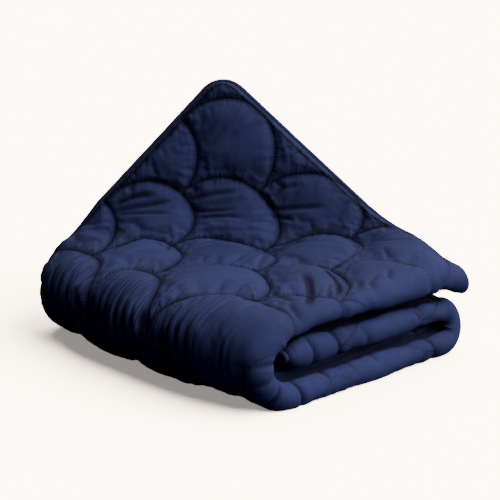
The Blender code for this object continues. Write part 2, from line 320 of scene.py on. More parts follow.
@dataclass(frozen=True)
class FoldPlan:
    """How the flat duvet is folded: in half, in thirds, and one corner raised."""

    quilting: Quilting = Quilting()
    loft: float = 0.0255
    ply_gap: float = 0.0025
    layer_gap: float = 0.0025
    edge_loft: float = 0.006
    edge_reach: float = 0.038
    edge_droop: float = 0.8
    flattened: float = 0.005
    end_taper: float = 0.02
    top_extra: float = 0.050
    bottom_forward: float = 0.007
    middle_forward: float = -0.006
    roll_bulge: float = 0.034
    bow_at: float = 0.240
    bow_reach: float = 0.350
    end_droop: float = 0.019
    end_reach: float = 0.090
    droop_width: float = 0.130
    crease_x: float = 0.166
    crease_y: float = 0.245
    crease_turn: float = math.radians(42)
    corner_rise: float = math.radians(77)
    crease_radius: float = 0.125
    crease_fade: float = 0.090
    end_draw: float = 0.016
    end_draw_reach: float = 0.080
    fold_draw: float = 0.013
    shoulder_lift: float = 0.028
    shoulder_at: float = 0.080
    shoulder_reach: float = 0.085
    blunt_reach: float = 0.016
    blunt_loft: float = 0.020
    swells: tuple[Swell, ...] = (
        Swell(0.365, 0.085, -0.26),
        Swell(1.310, 0.150, 0.24),
    )
    swell_reach: float = 0.090

    @property
    def ply_offset(self) -> float:
        """From the middle between the plies to the middle of one ply."""
        return (self.loft + self.ply_gap) / 2

    @property
    def pitch(self) -> float:
        """Height of one double layer with its gap."""
        return 2 * self.loft + self.ply_gap + self.layer_gap

    @property
    def runs(self) -> tuple[Run, ...]:
        """The strip's top, bottom and middle layers, each with the turn after it.

        Returns:
            The runs in order.
        """
        turns = math.pi * (self.pitch + self.pitch / 2)
        bottom = (self.quilting.length - turns - self.top_extra) / 3
        return (
            Run(bottom + self.top_extra, self.pitch, 0.0),
            Run(bottom, self.pitch / 2, self.bottom_forward),
            Run(bottom, 0.0, self.middle_forward),
        )

    def half_fold(self, p: Array) -> tuple[Array, Array, Array, Array]:
        """Section across the width: two plies joined by a half turn.

        Args:
            p: places across the width.

        Returns:
            y and w of the ply's middle, w counted from between the plies, and
            the y and w parts of its outward normal.
        """
        turn = math.pi * self.ply_offset
        run = (self.quilting.width - turn) / 2
        angle = np.clip((p - run) / self.ply_offset, 0, math.pi)
        beyond = np.maximum(p - run - turn, 0)
        y = np.where(p < run, run - p, beyond) - self.ply_offset * np.sin(angle)
        return y, self.ply_offset * np.cos(angle), -np.sin(angle), np.cos(angle)

    def strip_fold(self, s: Array) -> tuple[Array, ...]:
        """Section along the strip: straight runs and half turns in turn.

        Args:
            s: places along the strip's middle line.

        Returns:
            x, z, the two parts of the outward normal, and how far the folded
            side stands forward.
        """
        x, z = np.zeros_like(s), np.zeros_like(s)
        heading = np.full_like(s, math.pi)
        stations: list[float] = []
        forwards: list[float] = []
        start, at_x, at_z, facing = 0.0, 0.0, 0.0, math.pi
        for run in self.runs:
            turn = math.pi * run.radius
            travel = np.clip(s - start, 0, run.length)
            angle = facing + np.clip(s - start - run.length, 0, turn) / max(run.radius, 1e-9)
            here = s >= start
            x = np.where(here, at_x + travel * math.cos(facing)
                         + run.radius * (np.sin(angle) - math.sin(facing)), x)
            z = np.where(here, at_z + travel * math.sin(facing)
                         - run.radius * (np.cos(angle) - math.cos(facing)), z)
            heading = np.where(here, angle, heading)
            stations += [start, start + run.length]
            forwards += [run.forward] * 2
            at_x += run.length * math.cos(facing)
            at_z += 2 * run.radius * math.cos(facing)
            facing += math.pi
            start += run.length + turn
        return x, z, np.sin(heading), -np.cos(heading), np.interp(s, stations, forwards)

    def past_crease(self, s: Array, y: Array) -> Array:
        """Distance of each place past the slanting crease, in the flat top layer."""
        along_x, along_y = math.cos(self.crease_turn), math.sin(self.crease_turn)
        return (self.runs[0].length - s - self.crease_x) * along_x + (y - self.crease_y) * along_y

    def raise_corner(self, s: Array, y: Array, w: Array) -> tuple[Array, ...]:
        """Bends the flat top layer up past the crease, on an arc and then straight.

        Args:
            s: places along the strip.
            y: places across it.
            w: height above the middle of the layer.

        Returns:
            The shift in x, y and z, which fades out on the roll.
        """
        past = self.past_crease(s, y)
        arc = self.crease_radius * self.corner_rise
        angle = np.clip(past, 0, arc) / self.crease_radius
        straight = np.maximum(past - arc, 0)
        level = (self.crease_radius - w) * np.sin(angle) + straight * np.cos(angle)
        rise = self.crease_radius - (self.crease_radius - w) * np.cos(angle) + straight * np.sin(angle) - w
        fade = soft_step((self.runs[0].length + self.crease_fade - s) / (2 * self.crease_fade))
        slide = np.where(past > 0, level - past, 0) * fade
        return (slide * math.cos(self.crease_turn), slide * math.sin(self.crease_turn),
                np.where(past > 0, rise, 0) * fade)

    def rounding(self, p: Array, q: Array) -> tuple[Array, Array]:
        """Loft left by the rounded edge, and the loft it takes away.

        The edge rises in a quarter circle. By the folded side its free end is
        blunter: it keeps more loft and is full sooner.

        Args:
            p, q: places across the width and along the length.

        Returns:
            Both lofts.
        """
        r = self.quilting.radius
        blunt = bell(p - 6 * r, 1.9 * r) * (q < self.quilting.length / 2)
        reach = self.edge_reach + (self.blunt_reach - self.edge_reach) * blunt
        least = self.edge_loft + (self.blunt_loft - self.edge_loft) * blunt
        left = least + (self.loft - least) * round_shoulder(self.quilting.edge_distance(p, q) / reach)
        return left, self.loft - left

    def draw_in(self, q: Array, y: Array) -> Array:
        """How far the roll is drawn towards its own axis near the folded side.

        It is end_draw (1 - distance from the side / reach)^2, only on the upper
        part of the roll, and a smaller part of it on the fold at the right.

        Args:
            q: places along the strip.
            y: places across it.

        Returns:
            The heights to take away.
        """
        near = np.clip(1 - (y + 2 * self.ply_offset) / self.end_draw_reach, 0, 1) ** 2
        first = self.runs[0].length
        turn = math.pi * self.pitch
        on_roll = window(q, first - 0.06, 0.10, first + 0.65 * turn, 0.08)
        fold = first + turn + self.runs[1].length
        on_fold = bell(q - fold - turn / 4, turn / 4)
        return near * (self.end_draw * on_roll + self.fold_draw * on_fold)

    def place(self, p: Array, q: Array, half: Array) -> Array:
        """Maps the flat duvet to its folded form.

        Args:
            p, q: places across the width and along the length.
            half: height of the skin over the cloth's middle, below 0 inside.

        Returns:
            Points, before the pile is centred, as an array with a last axis of 3.
        """
        lost = self.rounding(p, q)[1]
        p, q = self.quilting.round_corners(p, q)
        y, w, normal_y, normal_w = self.half_fold(p)
        w = w * (1 - self.edge_droop * lost / 2 / self.ply_offset)
        y = y + normal_y * half
        w = w + normal_w * half
        for swell in self.swells:
            w = w * (1 + swell.share * bell(q - swell.at, swell.reach) * bell(y, self.swell_reach))
        w = w - self.draw_in(q, y)
        shoulder = bell(y - self.shoulder_at, self.shoulder_reach) * bell(q - 0.03, 0.11)
        w = w + self.shoulder_lift * shoulder
        x, z, normal_x, normal_z, forward = self.strip_fold(q)
        shift_x, shift_y, shift_z = self.raise_corner(q, y, w)
        floor = -2 * self.pitch - self.ply_offset - self.loft / 2 + self.flattened
        height = np.maximum(z + w * normal_z, floor) - floor
        bow = np.clip(1 - ((y - self.bow_at) / self.bow_reach) ** 2, 0, 1)
        towards_roll = np.clip(-x / self.runs[0].length, 0, 1.2)
        bulge = self.roll_bulge * bow * towards_roll**3 * np.clip(0.65 - 0.4 * height / floor, 0, 1)
        height = height * (1 - self.end_taper * (1 - towards_roll))
        near_end = np.clip(1 - q / self.end_reach, 0, 1) ** 2
        droop = self.end_droop * near_end * soft_step(1 - y / self.droop_width)
        return np.stack([x + w * normal_x + shift_x - bulge,
                         y - forward + shift_y,
                         height + shift_z - droop], axis=-1)


@dataclass(frozen=True)
class Crease:
    """One main crease: a soft trough (depth above 0) or ridge along a bowed line.

    Its ends are places in the flat cloth, in scale radii.
    """

    start: tuple[float, float]
    end: tuple[float, float]
    depth: float
    width: float
    bow: float = 0.0

    def height(self, p: Array, q: Array, radius: float) -> Array:
        """Height it adds to the cloth: -depth exp(-(across / width)^2), fading at the ends.

        Args:
            p, q: places across the width and along the length.
            radius: the scale radius.

        Returns:
            The heights, below 0 in a trough.
        """
        start, end = np.array(self.start) * radius, np.array(self.end) * radius
        line = end - start
        length = float(np.hypot(*line))
        ahead = line / length
        t = ((p - start[0]) * ahead[0] + (q - start[1]) * ahead[1]) / length
        off = -(p - start[0]) * ahead[1] + (q - start[1]) * ahead[0]
        off = off - self.bow * radius * 4 * t * (1 - t)
        return -self.depth * bell(off, self.width) * window(t, 0.0, 0.3, 1.0, 0.3)


MAIN_CREASES = tuple(Crease(row[:2], row[2:4], *row[4:]) for row in (
    # the bend below the raised corner
    (3.18, 2.20, 3.26, 1.25, 0.0032, 0.013), (1.62, 2.90, 1.95, 3.30, 0.0030, 0.006),
    (2.80, 2.22, 3.32, 2.16, 0.0030, 0.007), (3.26, 2.12, 3.70, 2.78, 0.0028, 0.006),
    (2.84, 4.25, 3.04, 2.80, 0.0024, 0.011, 0.06), (1.70, 4.00, 2.05, 3.10, 0.0018, 0.009, -0.05),
    # the top by its right shoulder
    (4.88, 0.98, 5.28, 1.20, 0.0026, 0.006), (5.52, 1.50, 5.88, 1.92, 0.0030, 0.006),
    (5.60, 1.82, 5.94, 2.45, 0.0030, 0.006, 0.04), (5.50, 2.20, 5.95, 2.75, 0.0022, 0.007),
    # the puckered side of the top layer, next to the roll
    (4.55, 2.62, 5.95, 3.85, 0.0060, 0.008, -0.14), (4.66, 3.30, 5.70, 3.72, 0.0042, 0.007, 0.06),
    (5.50, 3.72, 6.00, 4.05, 0.0034, 0.005), (5.20, 2.55, 5.85, 3.30, 0.0024, 0.006),
    # the roll
    (5.55, 5.02, 6.15, 4.88, 0.0036, 0.004), (5.60, 5.22, 6.10, 5.16, 0.0034, 0.004),
    (3.86, 4.75, 3.84, 5.75, 0.0036, 0.005), (4.04, 4.50, 4.06, 5.80, 0.0050, 0.005, -0.03),
    (4.22, 4.42, 4.26, 5.80, 0.0054, 0.005, 0.03), (4.42, 4.42, 4.50, 5.70, 0.0046, 0.005),
    (4.62, 4.42, 4.74, 5.60, 0.0040, 0.005, 0.02), (3.42, 4.45, 3.72, 5.50, 0.0056, 0.006),
    (2.44, 4.42, 2.38, 5.70, 0.0050, 0.005, 0.03), (2.62, 4.36, 2.58, 5.60, 0.0044, 0.005),
    (2.84, 4.36, 2.92, 5.60, 0.0050, 0.005, -0.03), (3.08, 4.40, 3.16, 5.60, 0.0044, 0.005),
    (3.30, 4.50, 3.42, 5.60, 0.0040, 0.005, 0.02), (1.98, 4.66, 2.06, 5.50, 0.0046, 0.006),
    (2.20, 4.60, 2.22, 5.50, 0.0036, 0.005), (1.70, 4.66, 1.88, 5.50, 0.0040, 0.005),
    (0.66, 4.45, 0.98, 5.50, 0.0044, 0.005), (0.98, 4.45, 1.22, 5.50, 0.0044, 0.005),
    (1.26, 4.50, 1.52, 5.50, 0.0040, 0.005), (0.40, 4.60, 0.66, 5.60, 0.0036, 0.005),
    # the raised corner
    (1.08, 2.25, 1.88, 1.23, 0.0036, 0.006, -0.04), (1.24, 2.36, 2.00, 1.64, 0.0034, 0.005, 0.03),
    (1.48, 2.40, 2.28, 1.66, 0.0034, 0.005, -0.04), (1.10, 2.10, 1.16, 1.78, 0.0034, 0.005),
    (2.26, 1.15, 2.58, 0.46, 0.0036, 0.006, -0.13), (2.30, 1.36, 3.14, 0.43, 0.0036, 0.006),
    (2.42, 1.38, 2.90, 1.10, 0.0036, 0.005), (2.02, 0.80, 2.32, 0.76, 0.0028, 0.005),
    (1.98, 0.85, 2.38, 1.30, 0.0028, 0.007), (0.26, 3.28, 0.76, 2.40, 0.0048, 0.007, -0.11),
    (0.30, 3.30, 1.06, 2.22, 0.0040, 0.006, 0.03), (0.38, 3.32, 1.30, 2.44, 0.0030, 0.004),
    (0.28, 2.78, 0.20, 2.50, 0.0034, 0.006), (0.56, 0.64, 0.58, 1.52, 0.0018, 0.007),
    (0.76, 0.58, 0.78, 1.26, 0.0018, 0.006), (0.97, 0.58, 0.98, 0.92, 0.0014, 0.005),
    (4.35, 2.10, 5.94, 3.22, 0.0062, 0.0050, -0.20),
    # across the folded side of the bottom and middle layers
    (5.70, 5.52, 6.14, 5.44, 0.0046, 0.0045), (5.84, 5.98, 6.22, 5.86, 0.0048, 0.0045),
    (6.00, 6.56, 6.26, 6.48, 0.0036, 0.0045), (6.00, 7.14, 6.24, 7.02, 0.0030, 0.0045),
    (6.02, 7.68, 6.24, 7.56, 0.0032, 0.0045), (5.80, 9.18, 6.22, 8.90, 0.0044, 0.0045),
    (5.84, 11.20, 6.04, 11.02, 0.0036, 0.0045), (5.84, 12.52, 6.12, 12.26, 0.0030, 0.0045),
    (5.76, 13.12, 6.22, 12.90, 0.0056, 0.0048), (5.80, 13.64, 6.18, 13.46, 0.0048, 0.0048),
))


@dataclass
class DuvetBody:
    """The filled duvet: puffed scales, puckered seams and uneven creases."""

    plan: FoldPlan
    shift: Array
    fine_step: float = 0.0031
    row_step: float = 0.0034
    side_step: float = 0.0051
    under_step: float = 0.0092
    seam_half: float = 0.0024
    puff_reach: float = 0.050
    seam_round: float = 0.0026
    pucker: float = 0.0010
    flap_reach: float = 0.026
    roll_ripple: float = 0.0009
    bend_ripple: float = 0.0016
    side_ripple: float = 0.0002
    broad_ripple: float = 0.0010
    side_swell: float = 0.002
    binding_line: float = 0.009
    crisp_rows: float = 6.6
    # crease depth at which the painted shade in its trough is full
    crease_shade_depth: float = 0.004
    lowest: float = 0.0003
    middle_from: float = 10.3
    notch_draw: float = 0.0130
    notch_at: float = 0.030
    notch_reach: float = 0.0170
    # strength of the painted shade in the notches between layers
    notch_shade_strength: float = 1.3
    creases: tuple[Crease, ...] = MAIN_CREASES
    thin: int = 4
    settled: Optional["Moves"] = None

    def stations(self) -> tuple[Array, Array]:
        """Grid places across and along: close where the cloth shows most.

        Each run of stations is a whole number of the inner skin's wider steps.

        Returns:
            The places across and the places along.
        """
        r, cloth = self.plan.quilting.radius, self.plan.quilting
        across = self.spread((0.0, 6.45 * r, cloth.width), (self.fine_step, self.under_step))
        along = self.spread((0.0, 6.6 * r, cloth.length), (self.row_step, self.side_step))
        return across, along

    def spread(self, stops: tuple[float, ...], steps: tuple[float, ...]) -> Array:
        """Stations through every stop, about the given steps apart.

        Args:
            stops: the first, any middle and the last place.
            steps: about how far apart stations are between stops.

        Returns:
            The stations in order.
        """
        places = [np.array([stops[0]])]
        for low, high, step in zip(stops[:-1], stops[1:], steps):
            count = self.thin * max(1, round((high - low) / step / self.thin))
            places.append(np.linspace(low, high, count + 1)[1:])
        return np.concatenate(places)

    def depth_share(self, p: Array, q: Array) -> Array:
        """How much of its full depth a seam keeps.

        Seams are shallow where the cloth is bent over the folded side or into
        the raised corner, because the filling is pushed up there. So are those
        under the full right shoulder, and where the roll lies on the floor.

        Args:
            p, q: places across the width and along the length.

        Returns:
            Shares from 0 to 1.
        """
        r = self.plan.quilting.radius
        by_side = bell(p - 6.05 * r, 0.50 * r)
        in_bend = bell(self.past_bend(p, q) - 0.010, 0.050) * soft_step((4.2 * r - q) / r) * (p < 6 * r)
        shoulder = bell(np.hypot(p - 4.95 * r, q - 1.10 * r), 0.75 * r)
        below = window(q / r, 5.3, 0.6, 7.8, 0.6)
        kept = 1 - np.maximum(0.70 * by_side, 0.50 * in_bend)
        return kept * (1 - 0.80 * shoulder) * (1 - 0.80 * below) * (1 - 0.25 * self.on_flap(p, q))

    def past_bend(self, p: Array, q: Array) -> Array:
        """Distance of each place past the raised corner's crease."""
        return self.plan.past_crease(q, self.plan.half_fold(p)[0])

    def on_flap(self, p: Array, q: Array) -> Array:
        """1 on the raised corner, 0 in the bend and beyond."""
        return soft_step((self.past_bend(p, q) - 0.07) / 0.08) * (p < 6 * self.plan.quilting.radius)

    def on_roll(self, p: Array, q: Array) -> Array:
        """1 on the roll away from the folded side, 0 beyond it."""
        r = self.plan.quilting.radius
        return window(q / r, 3.9, 0.8, 7.4, 0.6) * soft_step((5.2 - p / r) / 0.6)

    def fullness_of_cloth(self, p: Array, q: Array) -> Array:
        """Where there is most loose cloth: 1 on the roll and in the bend, less on the flat top.

        Args:
            p, q: places across the width and along the length.

        Returns:
            Shares from 0 to 1.
        """
        r = self.plan.quilting.radius
        on_roll = window(q / r, 3.7, 1.0, 8.0, 0.5)
        in_bend = bell(self.past_bend(p, q) - 0.09, 0.07) * soft_step((4.2 * r - q) / r) * (p < 6 * r)
        by_side = 0.5 * bell(p - 6 * r, 0.8 * r)
        return np.clip(np.maximum(np.maximum(on_roll, in_bend), by_side), 0.0, 1.0)

    def half_loft(self, p: Array, q: Array, skin: Skin) -> Array:
        """Height of a skin over the cloth's middle.

        A scale rises from its seam in a quarter circle. Its foot is rounded by
        reading the distance as sqrt(d^2 + e^2), less e. On the outer skin the
        ripples and creases are added, less towards the seams and edges.

        Args:
            p, q: places across the width and along the length.
            skin: which face is wanted.

        Returns:
            The height, always above 0.
        """
        cloth, plan = self.plan.quilting, self.plan
        seams = cloth.seams(p, q)
        rounded = np.hypot(seams.distance, self.seam_round)
        reach = self.puff_reach + (self.flap_reach - self.puff_reach) * self.on_flap(p, q)
        foot = round_shoulder(self.seam_round / reach)
        puff = (round_shoulder(rounded / reach) - foot) / (1 - foot)
        lowest = plan.loft / 2 - (plan.loft / 2 - self.seam_half) * self.depth_share(p, q)
        full = lowest + (plan.loft / 2 - lowest) * puff
        at_edge = plan.rounding(p, q)[0] / 2
        full = np.minimum(full, at_edge)
        if skin is Skin.INNER:
            return full
        edge = cloth.edge_distance(p, q)
        loose = soft_step(seams.distance / 0.012) * soft_step(edge / 0.030)
        strength = (0.55 + 0.9 * bell(seams.junction, 0.040)) * soft_step(edge / 0.012)
        height = full + self.pucker * strength * seams.pucker
        height = height + loose * self.ripples(p, q, seams)
        height = height + self.side_swell * bell(p - 6 * cloth.radius, 0.4 * cloth.radius)
        height = height + self.crease_height(p, q) * soft_step(seams.distance / 0.005)
        height = height - self.notch_draw * self.by_notch(p, q)
        return np.maximum(height, 0.0015)

    def by_notch(self, p: Array, q: Array) -> Array:
        """Where a layer's folded side faces the next layer: the cloth is drawn in there.

        Args:
            p, q: places across the width and along the length.

        Returns:
            Shares from 0 to 1, the greatest in the middle of the drawn-in strip.
        """
        past = p - 6 * self.plan.quilting.radius
        faces_next = (past > 0) | (q > self.middle_from * self.plan.quilting.radius)
        away_from_end = soft_step((q / self.plan.quilting.radius - 0.9) / 0.9)
        return bell(np.abs(past) - self.notch_at, self.notch_reach) * faces_next * away_from_end

    def crease_height(self, p: Array, q: Array) -> Array:
        """Height that all the main creases add, below 0 in their troughs."""
        return sum(crease.height(p, q, self.plan.quilting.radius) for crease in self.creases)

    def ripples(self, p: Array, q: Array, seams: SeamField) -> Array:
        """Fine creases where the cloth turns, each along its own direction.

        On the roll they run down it, in the bend under the raised corner they
        run along the crease, and round the folded side they cross it.

        Args:
            p, q: places across the width and along the length.
            seams: the seams there.

        Returns:
            The heights that the fine creases add.
        """
        r = self.plan.quilting.radius
        below_top = np.where(seams.inside > 0, soft_step((seams.distance - 0.010) / 0.030), 1.0)
        on_roll = window(q / r, 3.9, 0.8, 8.0, 0.5) * soft_step((5.9 * r - p) / (0.5 * r))
        on_roll = on_roll * (0.25 + 0.75 * below_top)
        wander = 0.012 * Ripple(5).at(p / 0.09, q / 0.07)
        roll = Ripple(21).crest((p + wander) / 0.0125, q / 0.13)
        roll = roll + 0.7 * Ripple(22).crest((p + wander) / 0.023, q / 0.10)
        past = self.past_bend(p, q)
        in_bend = bell(past - 0.075, 0.060) * (q < 5 * r) * (p < 6.1 * r)
        level = (p - q) / math.sqrt(2) + 0.01 * Ripple(7).at(p / 0.05, q / 0.05)
        fan = past + 0.014 * Ripple(8).at(p / 0.06, q / 0.06)
        bend = Ripple(31).at(fan / 0.017, level / 0.075) + 0.5 * Ripple(32).at(fan / 0.009, level / 0.045)
        by_side = bell(p - 6 * r, 0.70 * r) * (1 - 0.6 * on_roll)
        side = Ripple(41).crest(q / 0.030, (p - 6 * r) / 0.09) + 0.4 * Ripple(42).at(q / 0.012, p / 0.05)
        broad = Ripple(51).at(p / 0.045, q / 0.045)
        return (self.roll_ripple * on_roll * roll + self.bend_ripple * in_bend * bend
                + self.side_ripple * by_side * side + self.broad_ripple * broad)

    def surface(self, p: Array, q: Array, above: float) -> Array:
        """Points of the outer skin, or a little above it, where the cloth has settled.

        None is lower than the floor, where the cloth is pressed flat.

        Args:
            p, q: places across the width and along the length.
            above: height over the skin.

        Returns:
            Points, as an array with a last axis of 3.
        """
        points = self.plan.place(p, q, self.half_loft(p, q, Skin.OUTER) + above) + self.shift
        if self.settled is not None:
            points = points + self.settled.at(p, q)
        points[..., 2] = np.maximum(points[..., 2], self.lowest)
        return points

    def mesh(self) -> tuple[Array, list[Array], Array]:
        """Works out the closed skin.

        The outer skin has every station. The inner skin has every fourth one,
        and a band of faces round the rim joins the two.

        Returns:
            Points, face arrays (of fours and of sevens), and the flat places
            (p, q) of the points.
        """
        across, along = self.stations()
        step = self.thin
        p, q = np.meshgrid(across, along, indexing="ij")
        outer = self.surface(p, q, 0.0)
        wide_p, wide_q = p[::step, ::step], q[::step, ::step]
        inner = self.plan.place(wide_p, wide_q, -self.half_loft(wide_p, wide_q, Skin.INNER)) + self.shift
        outer_id = np.arange(p.size).reshape(p.shape)
        inner_id = p.size + np.arange(wide_p.size).reshape(wide_p.shape)
        rim_outer, rim_inner = self.rim(outer_id), self.rim(inner_id)
        edge = [np.roll(rim_outer, -k)[::step] for k in range(step + 1)]
        band = np.stack(edge + [np.roll(rim_inner, -1), rim_inner], axis=1)
        fours = np.concatenate([self.quads(outer_id), self.quads(inner_id)[:, ::-1]])
        points = np.concatenate([outer.reshape(-1, 3), inner.reshape(-1, 3)])
        flat = np.concatenate([np.stack([p, q], -1).reshape(-1, 2),
                               np.stack([wide_p, wide_q], -1).reshape(-1, 2)])
        return points, [fours, band], flat

    @staticmethod
    def quads(ids: Array) -> Array:
        """Four-sided faces of a grid of point numbers."""
        return np.stack([ids[:-1, :-1], ids[:-1, 1:], ids[1:, 1:], ids[1:, :-1]], -1).reshape(-1, 4)

    @staticmethod
    def rim(ids: Array) -> Array:
        """Point numbers once round the rim of a grid."""
        return np.concatenate([ids[:-1, 0], ids[-1, :-1], ids[:0:-1, -1], ids[0, :0:-1]])

    def build(self, finish: "ClothFinish") -> Piece:
        """Makes the duvet's object, with its cloth map and the attributes that its finish reads.

        Args:
            finish: the cloth's finish.

        Returns:
            The object.
        """
        points, faces, flat = self.mesh()
        piece = mesh_object("quilted_body", points, faces, finish.material())
        lay_map(piece, flat)
        p, q = flat[:, 0], flat[:, 1]
        cloth = self.plan.quilting
        seams = cloth.seams(p, q)
        from_binding = cloth.edge_distance(p, q) - self.binding_line
        signed = seams.distance * (1 - 2 * seams.inside * (q < self.crisp_rows * cloth.radius))
        # painted shade in the notch between layers, darkest in the middle of the drawn-in strip
        notch = soft_step((self.by_notch(p, q) - 0.30) / 0.45) * self.notch_shade_strength
        # the seam values shape the painted seam shade and gathers; the last value paints shade into crease
        # troughs and notches
        for name, values in {
                "seam_side": np.minimum(seams.distance, np.abs(from_binding)),
                "seam_line": np.where(np.abs(from_binding) < seams.distance, from_binding, signed),
                "seam_along": seams.along,
                "seam_depth": self.depth_share(p, q),
                "looseness": self.on_roll(p, q),
                "valley_painted_shade": np.maximum(-self.crease_height(p, q) / self.crease_shade_depth, notch)}.items():
            add_attribute(piece, name, values)
        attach(piece, ROOT)
        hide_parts("duvet_body")
        return piece


@dataclass
class Settling:
    """Lets the cloth between the seams wrinkle by itself, in a short simulation.

    The seams and edges are held. The cloth is a little larger than its place,
    and the filling presses it outwards, so it buckles into puckers and folds.
    """

    step: float = 0.0045
    frames: int = 20
    growth: float = 0.12
    least_growth: float = 0.035
    pressure: float = 4.0
    vertex_mass: float = 0.05
    bending: float = 0.02
    held_width: float = 0.0030
    cap: float = 0.008
    side_calm: float = 0.7
    last_p: float = 0.68
    levels: int = 8

    def moves(self, body: "DuvetBody") -> "Moves":
        """Runs the simulation on the outer skin of the plies that show.

        Args:
            body: the duvet, whose smooth outer skin is the starting shape.

        Returns:
            How far each place of a wide grid moves.
        """
        cloth = body.plan.quilting
        across = np.linspace(0, self.last_p, round(self.last_p / self.step) + 1)
        along = np.linspace(0, cloth.length, round(cloth.length / self.step) + 1)
        p, q = np.meshgrid(across, along, indexing="ij")
        start = body.plan.place(p, q, body.half_loft(p, q, Skin.OUTER))
        ids = np.arange(p.size).reshape(p.shape)
        sheet = mesh_object("settling_sheet", start.reshape(-1, 3), [body.quads(ids)],
                            bpy.data.materials.new("settling_plain"))
        seam = cloth.seams(p, q).distance
        edge = np.minimum(cloth.edge_distance(p, q), self.last_p - p)
        held = np.maximum(1 - soft_step((seam - self.held_width) / 0.004), 1 - soft_step(edge / 0.010))
        for name, share in (("held", held), ("roomy", body.fullness_of_cloth(p, q))):
            group = sheet.vertex_groups.new(name=name)
            level_of = np.round(share.ravel() * self.levels).astype(int)
            for level in range(1, self.levels + 1):
                group.add(np.flatnonzero(level_of == level).tolist(), level / self.levels, "REPLACE")
        end = self.run(sheet).reshape(start.shape)
        moved = end - start
        size = np.linalg.norm(moved, axis=-1, keepdims=True)
        calm = 1 - self.side_calm * bell(p - 6 * cloth.radius, 0.7 * cloth.radius)[..., None]
        moved = moved * calm * np.tanh(size / self.cap) * self.cap / np.maximum(size, 1e-9)
        bpy.data.objects.remove(sheet)
        return Moves(across, along, moved)

    def run(self, sheet: Piece) -> Array:
        """Sets up the cloth on a sheet, plays it, and gives its last points.

        Args:
            sheet: the cloth at its place.

        Returns:
            The points' coordinates in one row.
        """
        cloth = sheet.modifiers.new("settle", "CLOTH")
        for rule, value in {
                "quality": 5, "mass": self.vertex_mass, "air_damping": 2.0, "tension_stiffness": 15.0,
                "compression_stiffness": 15.0, "shear_stiffness": 5.0, "bending_stiffness": self.bending,
                "vertex_group_shrink": "roomy", "shrink_min": -self.least_growth, "shrink_max": -self.growth,
                "use_pressure": True, "uniform_pressure_force": self.pressure,
                "vertex_group_mass": "held", "pin_stiffness": 1.0}.items():
            setattr(cloth.settings, rule, value)
        cloth.settings.effector_weights.gravity = 0.0
        cloth.collision_settings.use_collision = False
        cloth.collision_settings.use_self_collision = False
        cloth.point_cache.frame_start, cloth.point_cache.frame_end = 1, self.frames
        scene = bpy.context.scene
        points = np.zeros(len(sheet.data.vertices) * 3, dtype=np.float32)
        for frame_number in range(1, self.frames + 1):
            scene.frame_set(frame_number)
            seen = sheet.evaluated_get(bpy.context.evaluated_depsgraph_get())
            seen.data.vertices.foreach_get("co", points)
        scene.frame_set(1)
        return points.astype(float)


@dataclass(frozen=True)
class Moves:
    """How far each place of a grid moves, read between its points."""

    across: Array
    along: Array
    moved: Array

    def at(self, p: Array, q: Array) -> Array:
        """Reads the moves at other places, with straight blends both ways.

        Past the grid's last column they are 0.

        Args:
            p, q: places across the width and along the length.

        Returns:
            The moves, as an array with a last axis of 3.
        """
        u = np.clip(p / self.across[1], 0, len(self.across) - 1.001)
        v = np.clip(q / self.along[1], 0, len(self.along) - 1.001)
        low_u, low_v = u.astype(int), v.astype(int)
        moved = between(self.moved, low_u, low_v, (u - low_u)[..., None], (v - low_v)[..., None])
        return moved * (p <= self.across[-1])[..., None]


def mesh_object(name: str, points: Array, faces: list[Array],
                material: bpy.types.Material) -> Piece:
    """Makes a smooth mesh object from arrays.

    Args:
        name: the object's name.
        points: an array of points.
        faces: arrays of point numbers, one array for each number of corners.
        material: its finish.

    Returns:
        The object, linked to the scene.
    """
    mesh = bpy.data.meshes.new(name)
    counts = np.concatenate([np.full(len(part), part.shape[1]) for part in faces])
    corners = np.concatenate([part.ravel() for part in faces])
    mesh.vertices.add(len(points))
    mesh.vertices.foreach_set("co", points.astype(np.float32).ravel())
    mesh.loops.add(len(corners))
    mesh.loops.foreach_set("vertex_index", corners.astype(np.int32))
    mesh.polygons.add(len(counts))
    mesh.polygons.foreach_set("loop_start", (np.cumsum(counts) - counts).astype(np.int32))
    mesh.polygons.foreach_set("loop_total", counts.astype(np.int32))
    mesh.materials.append(material)
    mesh.update(calc_edges=True)
    mesh.validate()
    mesh.shade_smooth()
    item = bpy.data.objects.new(name, mesh)
    bpy.context.scene.collection.objects.link(item)
    return item


def lay_map(piece: Piece, flat: Array) -> None:
    """Gives a piece a cloth map, in metres, from each point's flat place.

    Args:
        piece: the piece.
        flat: the flat place of each point, two columns.
    """
    mesh = piece.data
    index = np.zeros(len(mesh.loops), dtype=np.int32)
    mesh.loops.foreach_get("vertex_index", index)
    layer = mesh.uv_layers.new(name="cloth")
    layer.data.foreach_set("uv", flat[index].astype(np.float32).ravel())


def add_attribute(piece: Piece, name: str, values: Array) -> None:
    """Gives each point of a piece a value that its material reads."""
    attribute = piece.data.attributes.new(name, "FLOAT", "POINT")
    attribute.data.foreach_set("value", values.astype(np.float32))


